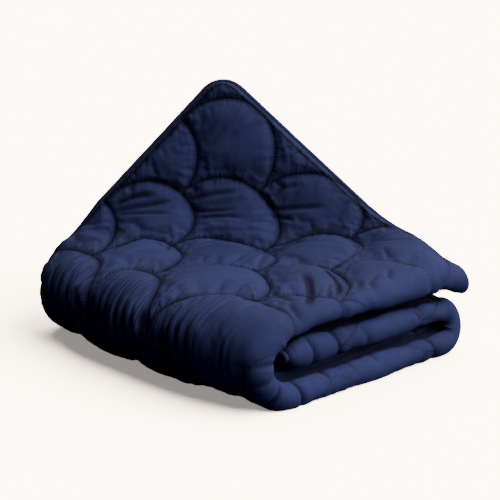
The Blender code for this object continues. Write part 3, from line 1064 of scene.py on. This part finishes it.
@dataclass
class Stitching:
    """The running stitches along every sewn arc, small spindles of thread."""

    body: DuvetBody
    length: float = 0.0034
    pitch: float = 0.0047
    radius: float = 0.00055
    sides: int = 4
    margin: float = 0.008

    def places(self) -> tuple[Array, Array, Array, Array]:
        """Places of the stitches in the flat cloth, and their directions.

        An arc's place at angle a is (centre + r sin a, centre - r cos a). Each
        is then drawn to where the folding pulls it, by trying the pull of the
        drawn place a few times over.

        Returns:
            The places across and along, and the two parts of each direction.
        """
        cloth = self.body.plan.quilting
        r = cloth.radius
        count = round(math.pi * r / self.pitch)
        angle = (np.arange(count) + 0.5) / count * math.pi - math.pi / 2
        across, down = np.array(cloth.arcs()).T[2:, :, None]
        p = (across + r * np.sin(angle)).ravel()
        q = (down - r * np.cos(angle)).ravel()
        turn = np.tile(angle, len(across))
        keep = cloth.edge_distance(p, q) > self.margin
        p, q, turn = p[keep], q[keep], turn[keep]
        drawn_p, drawn_q = p, q
        for _ in range(6):
            even_p, even_q = cloth.pulled(drawn_p, drawn_q)
            drawn_p, drawn_q = drawn_p + p - even_p, drawn_q + q - even_q
        return drawn_p, drawn_q, np.cos(turn), np.sin(turn)

    def build(self, finish: "ClothFinish") -> Piece:
        """Makes all stitches as one piece.

        A stitch is a spindle: its rings at 1/4 and 3/4 of its length are full
        and its ends are points. It lies along the arc, on the settled skin.

        Args:
            finish: the thread's finish.

        Returns:
            The object.
        """
        p, q, ahead_p, ahead_q = self.places()
        half, n = self.length / 2, self.sides
        tail, head = (self.body.surface(p + way * half * ahead_p, q + way * half * ahead_q, 0.0)
                      for way in (-1, 1))
        middle = self.body.surface(p, q, 0.0)
        up = self.body.surface(p, q, 0.001) - middle
        along = unit(head - tail)
        up = unit(up - along * np.sum(up * along, axis=1, keepdims=True))
        ring = rings(np.cross(up, along), up, self.radius, self.radius, n)
        centre = (middle + 0.4 * self.radius * up)[:, None, :]
        along = along[:, None, :]
        points = np.concatenate([centre - along * half, centre - along * half / 2 + ring,
                                 centre + along * half / 2 + ring, centre + along * half], axis=1)
        each = points.shape[1]
        low = 1 + np.arange(n)
        nxt = np.roll(low, -1)
        fours = np.stack([low, nxt, nxt + n, low + n], axis=1)
        threes = np.concatenate([np.stack([0 * low, nxt, low], axis=1),
                                 np.stack([low + n, nxt + n, 0 * low + each - 1], axis=1)])
        base = (np.arange(len(p)) * each)[:, None, None]
        faces = [(base + fours).reshape(-1, 4), (base + threes).reshape(-1, 3)]
        piece = mesh_object("quilting_stitches", points.reshape(-1, 3), faces, finish.material())
        lay_map(piece, np.repeat(np.stack([p, q], -1), each, axis=0))
        add_attribute(piece, "seam_side", np.full(len(p) * each, CLEAR_OF_SEAMS))
        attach(piece, ROOT)
        return piece


@dataclass
class EdgeBinding:
    """The narrow binding round the whole edge, a rounded band on a closed path."""

    body: DuvetBody
    half_width: float = 0.0046
    half_height: float = 0.0042
    set_out: float = 0.0012
    sides: int = 12

    def build(self, finish: "ClothFinish") -> Piece:
        """Carries a flattened circle along the rim.

        The profile is (half_width cos t, half_height sin t) in the outward and
        upward directions of the edge, which come from the two skins' rims.

        Args:
            finish: the binding's finish.

        Returns:
            The object.
        """
        body = self.body
        across, along = body.stations()
        p, q = np.meshgrid(across, along, indexing="ij")
        ids = body.rim(np.arange(p.size).reshape(p.shape))
        p, q = p.ravel()[ids], q.ravel()[ids]
        upper, lower = (body.plan.place(p, q, np.full_like(p, side * body.plan.edge_loft / 2)) + body.shift
                        for side in (1, -1))
        middle = (upper + lower) / 2
        up = unit(upper - lower)
        ahead = np.roll(middle, -1, axis=0) - np.roll(middle, 1, axis=0)
        outward = unit(np.cross(up, ahead))
        wobble = 1 + 0.06 * Ripple(61).at(np.arange(len(p)) / 5.0, np.zeros(len(p)))
        ring = rings(outward, up, self.half_width, self.half_height, self.sides)
        points = (middle + self.set_out * outward)[:, None, :] + ring * wobble[:, None, None]
        count = len(p)
        low = np.arange(count * self.sides).reshape(count, self.sides)
        nxt = np.roll(low, -1, axis=0)
        faces = np.stack([low, np.roll(low, -1, axis=1), np.roll(nxt, -1, axis=1), nxt], -1).reshape(-1, 4)
        piece = mesh_object("bound_edge", points.reshape(-1, 3), [faces], finish.material())
        steps = np.concatenate([[0.0], np.cumsum(np.linalg.norm(np.diff(middle, axis=0), axis=1))])
        turned = np.arange(self.sides) * 2 * math.pi / self.sides * self.half_height
        lay_map(piece, np.stack([np.repeat(steps, self.sides), np.tile(turned, count)], -1))
        add_attribute(piece, "seam_side", np.full(count * self.sides, CLEAR_OF_SEAMS))
        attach(piece, ROOT)
        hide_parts("edge_binding")
        return piece


def unit(vectors: Array) -> Array:
    """Vectors of length 1 in the same directions."""
    return vectors / np.linalg.norm(vectors, axis=-1, keepdims=True)


def rings(outward: Array, up: Array, half_width: float, half_height: float, sides: int) -> Array:
    """A flattened circle for each pair of directions: outward a cos t + up b sin t.

    Args:
        outward: the directions at t = 0.
        up: the directions at a quarter turn.
        half_width: a, the half width along outward.
        half_height: b, the half height along up.
        sides: how many points a circle has.

    Returns:
        An array of directions, sides and 3.
    """
    turns = (np.arange(sides) * 2 * math.pi / sides)[:, None]
    return (half_width * np.cos(turns) * outward[:, None, :]
            + half_height * np.sin(turns) * up[:, None, :])


@dataclass(frozen=True)
class ClothFinish:
    """Woven cotton: its colour, weave, fine wrinkles and gathers, with painted shade at seams, creases and
    notches.
    """

    name: str
    colour: Triple
    # near black: the painted shade colour
    painted_shade_colour: Triple
    roughness: float = 0.85
    specular: float = 0.10
    thread: float = 0.0007
    weave_height: float = 0.00006
    wrinkle_height: float = 0.0012
    # width of the painted shade line along each seam, which also dips the normal
    seam_width: float = 0.0020
    seam_dip: float = 0.0012
    # width and strength of the painted shade that darkens the cloth towards each seam
    groove_width: float = 0.0105
    groove_shade: float = 0.62
    valley_shade: float = 0.80
    gather_reach: float = 0.018
    gather_height: float = 0.0032
    fold_height: float = 0.0080

    def material(self) -> bpy.types.Material:
        """Builds the procedural material from the cloth map and the piece's attributes.

        Returns:
            The material.
        """
        kit = NodeKit(bpy.data.materials.new(self.name))
        cloth = kit.node("UVMap", {}, uv_map="cloth").outputs["UV"]
        seam = kit.read("seam_side")
        shown = kit.ramp(kit.read("seam_depth"), 0.20, 0.70, 0.0, 1.0)
        line = kit.maths("ABSOLUTE", kit.read("seam_line"))
        # painted shade: a thin near-black line along each seam and the binding's edge, also used as a dip in
        # the normal
        seam_line_dip_and_shade = kit.maths("MULTIPLY", kit.ramp(line, 0.0005, self.seam_width, 1.0, 0.0), shown)
        # painted shade: the cloth darkens towards each seam, where its dip would lie in shadow
        groove_painted_shade = kit.maths("MULTIPLY", kit.ramp(seam, 0.0, self.groove_width, self.groove_shade, 0.0), shown)
        # painted shade in crease troughs and in the notches between layers
        valley_painted_shade = kit.ramp(kit.read("valley_painted_shade"), 0.2, 1.2, 0.0, self.valley_shade)
        patches = kit.noise(cloth, (9.0, 9.0, 9.0), detail=3.0)
        slubs = kit.noise(cloth, (90.0, 900.0, 1.0), detail=2.0)
        shade = kit.maths("ADD", kit.maths("MULTIPLY", patches, 0.30), kit.maths("MULTIPLY", slubs, 0.25))
        dark, light = (opaque(share * c for c in self.colour) for share in (0.80, 1.22))
        colour = kit.blend(kit.ramp(shade, 0.16, 0.40, 0.0, 1.0), dark, light)
        # painted shade is blended over the cloth colour: first beside the seams, in crease troughs and in
        # notches, then along the seam lines
        for share in (kit.maths("MAXIMUM", groove_painted_shade, valley_painted_shade), seam_line_dip_and_shade):
            colour = kit.blend(share, colour, opaque(self.painted_shade_colour))
        along = kit.node("CombineXYZ", {0: kit.read("seam_along"), 1: seam}).outputs[0]
        by_seam = kit.maths("MULTIPLY", kit.ramp(seam, 0.001, self.gather_reach, 1.0, 0.0), shown)
        gathers = kit.maths("MULTIPLY", kit.noise(along, (260.0, 40.0, 1.0), detail=2.0), by_seam)
        folds = kit.maths("MULTIPLY", kit.noise(cloth, (150.0, 11.0, 1.0), detail=2.0), kit.read("looseness"))
        normal = kit.bump(kit.weave(cloth, self.thread), self.weave_height)
        normal = kit.bump(kit.noise(cloth, (60.0, 38.0, 1.0), detail=4.0), self.wrinkle_height, normal)
        normal = kit.bump(gathers, self.gather_height, normal)
        normal = kit.bump(folds, self.fold_height, normal)
        normal = kit.bump(seam_line_dip_and_shade, -self.seam_dip, normal)
        kit.feed(kit.shader(self.roughness, self.specular), {"Base Color": colour, "Normal": normal})
        return kit.owner


class NodeKit:
    """Short calls that add and join the nodes of one material or world."""

    def __init__(self, owner: bpy.types.ID) -> None:
        """Starts on the owner's own nodes.

        Args:
            owner: the material or world.
        """
        owner.use_nodes = True
        self.owner = owner
        self.tree = owner.node_tree

    def feed(self, node: bpy.types.Node, inputs: dict) -> bpy.types.Node:
        """Links each named input to a socket, or sets a plain value on it.

        Args:
            node: the node.
            inputs: a socket or a plain value for each input's name or number.

        Returns:
            The node.
        """
        for key, value in inputs.items():
            if isinstance(value, Socket):
                self.tree.links.new(value, node.inputs[key])
            else:
                node.inputs[key].default_value = value
        return node

    def node(self, kind: str, inputs: dict, **settings: object) -> bpy.types.Node:
        """Adds a node, sets its properties and feeds its inputs.

        Args:
            kind: its type's name after ShaderNode.
            inputs: what feed takes.
            **settings: its properties.

        Returns:
            The node.
        """
        made = self.tree.nodes.new("ShaderNode" + kind)
        for key, value in settings.items():
            setattr(made, key, value)
        return self.feed(made, inputs)

    def read(self, name: str) -> Socket:
        """Reads one of the piece's attributes."""
        return self.node("Attribute", {}, attribute_name=name).outputs["Fac"]

    def maths(self, operation: str, first: object, second: object = 0.0) -> Socket:
        """One math step."""
        return self.node("Math", {0: first, 1: second}, operation=operation).outputs[0]

    def ramp(self, value: Socket, low: float, high: float, at_low: float, at_high: float) -> Socket:
        """Maps a range to another, smoothly and within its limits."""
        limits = dict(enumerate((value, low, high, at_low, at_high)))
        return self.node("MapRange", limits, interpolation_type="SMOOTHSTEP").outputs[0]

    def noise(self, vector: Socket, stretch: Triple, detail: float) -> Socket:
        """Reads a noise texture on a stretched map."""
        mapped = self.node("Mapping", {"Vector": vector, "Scale": stretch}).outputs[0]
        return self.node("TexNoise", {"Vector": mapped, "Scale": 1.0, "Detail": detail}).outputs["Fac"]

    def weave(self, vector: Socket, thread: float) -> Socket:
        """Plain weave: the product of two sine waves, a thread apart each way.

        Args:
            vector: the map.
            thread: distance between threads.

        Returns:
            The height, -1 to 1.
        """
        split = self.node("SeparateXYZ", {0: vector})
        waves = [self.maths("SINE", self.maths("MULTIPLY", split.outputs[axis], math.pi / thread))
                 for axis in (0, 1)]
        return self.maths("MULTIPLY", *waves)

    def blend(self, share: object, first: object, second: object) -> Socket:
        """Blends two colours."""
        return self.node("Mix", {0: share, 6: first, 7: second}, data_type="RGBA").outputs[2]

    def bump(self, height: Socket, distance: float, normal: Optional[Socket] = None) -> Socket:
        """Turns a height into a normal, on top of another; a distance below 0 is a dip.

        Args:
            height: the height.
            distance: how high 1 is.
            normal: the normal below, if any.

        Returns:
            The normal.
        """
        made = self.node("Bump", {"Height": height, "Distance": abs(distance)}, invert=distance < 0)
        if normal is not None:
            self.feed(made, {"Normal": normal})
        return made.outputs[0]

    def shader(self, roughness: float, specular: float) -> bpy.types.Node:
        """The principled shader, with its plain values set on its sockets."""
        return self.feed(self.tree.nodes["Principled BSDF"],
                         {"Roughness": roughness, "Specular IOR Level": specular})


@dataclass(frozen=True)
class Lamp:
    """One even, far light: where it shines from, how wide it is and how strong."""

    name: str
    origin: Triple
    spread: float
    strength: float
    colour: Triple = (1.0, 1.0, 1.0)


@dataclass
class Studio:
    """Pale floor, soft light and the camera."""

    target: Triple = (0.020, -0.008, 0.166)
    distance: float = 2.40
    azimuth: float = -42.95
    elevation: float = 14.5
    lens: float = 97.9
    lamps: tuple[Lamp, ...] = (
        Lamp("key_light", (0.32, -0.66, 0.66), math.radians(56), 8.4),
        Lamp("back_light", (0.50, 0.25, 0.90), math.radians(70), 2.6),
    )
    surroundings: float = 0.006
    backdrop: float = 11.0
    tint: Triple = (1.0, 0.84, 0.62)
    floor_gain: float = 4.8
    floor_bounce: Triple = (0.010, 0.019, 0.10)
    floor_reach: float = 30.0
    shadow_glow: Triple = (0.30, 0.29, 0.275)

    def build(self) -> None:
        """Adds the floor, lights, world and camera."""
        self.floor()
        for lamp in self.lamps:
            data = bpy.data.lights.new(lamp.name, "SUN")
            data.angle, data.energy, data.color = lamp.spread, lamp.strength, lamp.colour
            stand(lamp.name, data, lamp.origin, (0.0, 0.0, 0.0))
        self.world()
        self.camera()

    def floor(self) -> None:
        """A wide pale floor, overexposed so that it meets the backdrop without a line."""
        kit = NodeKit(bpy.data.materials.new("pale_floor"))
        seen = kit.node("LightPath", {}).outputs["Is Camera Ray"]
        pale = opaque(self.floor_gain * c for c in self.tint)
        kit.feed(kit.shader(0.9, 0.0), {
            "Base Color": kit.blend(seen, opaque(self.floor_bounce), pale),
            "Emission Color": kit.blend(seen, opaque((0.0, 0.0, 0.0)), opaque(self.shadow_glow)),
            "Emission Strength": 1.0})
        corners = np.array([[-1, -1, 0], [1, -1, 0], [1, 1, 0], [-1, 1, 0]]) * self.floor_reach
        mesh_object("studio_floor", corners, [np.array([[0, 1, 2, 3]])], kit.owner)

    def world(self) -> None:
        """Even dim surroundings with a bright pale backdrop."""
        world = bpy.data.worlds.new("studio_world")
        kit = NodeKit(world)
        seen = kit.node("LightPath", {}).outputs["Is Camera Ray"]
        level = kit.ramp(seen, 0.0, 1.0, self.surroundings, self.backdrop)
        kit.feed(kit.tree.nodes["Background"], {"Color": opaque(self.tint), "Strength": level})
        bpy.context.scene.world = world

    def camera(self) -> None:
        """The camera, at a low three-quarter view."""
        turn, tilt = math.radians(self.azimuth), math.radians(self.elevation)
        away = (math.sin(turn) * math.cos(tilt), -math.cos(turn) * math.cos(tilt), math.sin(tilt))
        data = bpy.data.cameras.new("studio_camera")
        data.lens = self.lens
        place = tuple(t + self.distance * a for t, a in zip(self.target, away))
        bpy.context.scene.camera = stand("studio_camera", data, place, self.target)


def stand(name: str, data: bpy.types.ID, place: Triple, aim: Triple) -> Piece:
    """Adds a lamp or camera at a place, upright, with its -Z at the point it aims at.

    Args:
        name: its name.
        data: the lamp or camera data.
        place: where it stands.
        aim: the point it looks or shines at.

    Returns:
        The object.
    """
    x, y, z = (a - p for a, p in zip(aim, place))
    item = bpy.data.objects.new(name, data)
    item.location = place
    item.rotation_euler = math.atan2(math.hypot(x, y), -z), 0.0, math.atan2(y, x) - math.pi / 2
    bpy.context.scene.collection.objects.link(item)
    return item


def opaque(colour: Iterable[float]) -> tuple[float, ...]:
    """A colour with full cover."""
    return (*colour, 1.0)


def pile_shift(plan: FoldPlan) -> Array:
    """Moves the folded form, worked out from its free edge, to the CAD body's place.

    The middles of their two boxes agree in x and y, and their undersides in z.

    Args:
        plan: how the duvet is folded.

    Returns:
        The move in x, y and z.
    """
    across, along = np.linspace(0, plan.quilting.width, 241), np.linspace(0, plan.quilting.length, 276)
    p, q = np.meshgrid(across, along, indexing="ij")
    points = plan.place(p, q, np.full(p.shape, plan.loft / 2))
    low, high = points.reshape(-1, 3).min(axis=0), points.reshape(-1, 3).max(axis=0)
    box = np.array(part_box("duvet_body"), float)
    middle = (box[0] + box[1]) / 2 - (low + high) / 2
    return np.array([middle[0], middle[1], box[0][2] - low[2]])


def main() -> None:
    """Builds every piece in order and reports it."""
    logging.basicConfig(level=logging.INFO, format="%(name)s: %(message)s")
    plan = FoldPlan()
    shift = pile_shift(plan)
    LOG.info("pile shift %s", np.round(shift, 4).tolist())
    # navy cloth; its second colour is the near-black painted shade
    navy = ClothFinish("navy_cotton", (0.0140, 0.0160, 0.0545), (0.0008, 0.0011, 0.007))
    # painted shade colour of the binding and thread; it never shows on them, as they carry no seam depth
    # values
    dark = (0.0012, 0.0016, 0.009)
    edge = ClothFinish("navy_binding", (0.0130, 0.0145, 0.049), dark, wrinkle_height=0.0003)
    thread = ClothFinish("navy_thread", (0.0080, 0.0100, 0.036), dark, wrinkle_height=0.0001)
    body = DuvetBody(plan, shift)
    body.settled = Settling().moves(body)
    LOG.info("cloth settled")
    for maker, finish in ((body, navy), (Stitching(body), thread), (EdgeBinding(body), edge)):
        piece = maker.build(finish)
        LOG.info("%s: %d faces", piece.name, len(piece.data.polygons))
    Studio().build()


if __name__ == "__main__":
    main()
